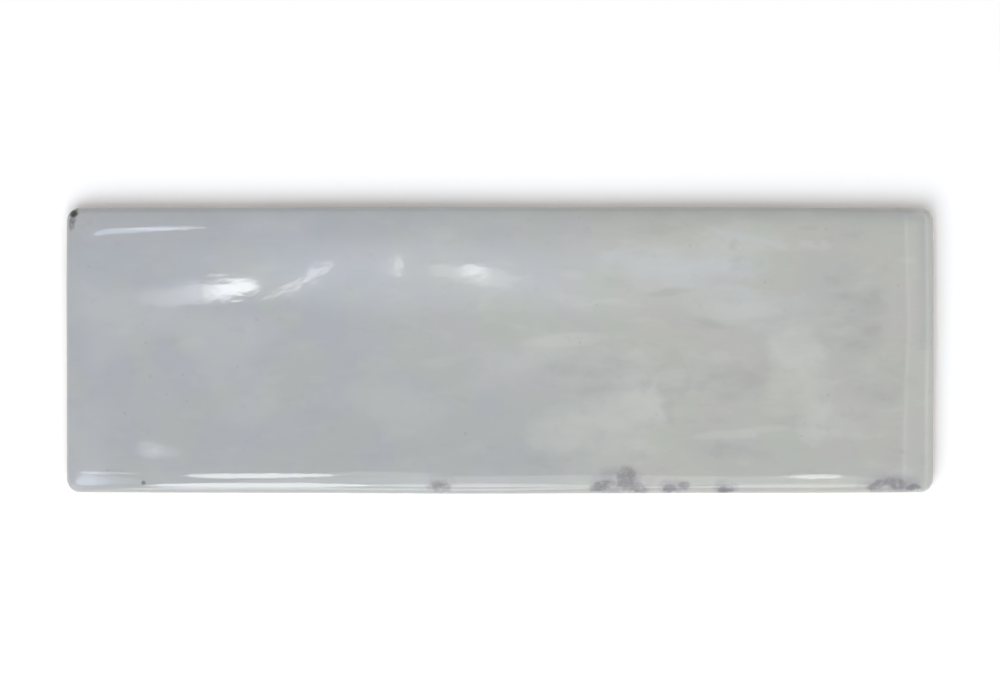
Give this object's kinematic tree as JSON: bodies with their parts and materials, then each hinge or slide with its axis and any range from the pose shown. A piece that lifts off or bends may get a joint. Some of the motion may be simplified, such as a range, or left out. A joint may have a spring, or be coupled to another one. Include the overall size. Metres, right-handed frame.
{
  "type": "handmade glazed wall tile",
  "caption": "Rectangular glazed ceramic wall tile with a gently waved glossy face, rolled rim, bowed edges and a keyed flat back; bonded to a wall as cladding.",
  "frame": {"origin": "middle of the flat back that the tile rests on or is bonded by", "axes": "+X along the tile's length, +Y across its width, +Z out of the glazed face"},
  "size_m": [0.2998, 0.0994, 0.009],
  "materials": {
    "glazed_clay": "gloss"
  },
  "bodies": {
    "root": {"tile": "glazed_clay"}
  },
  "joints": []
}
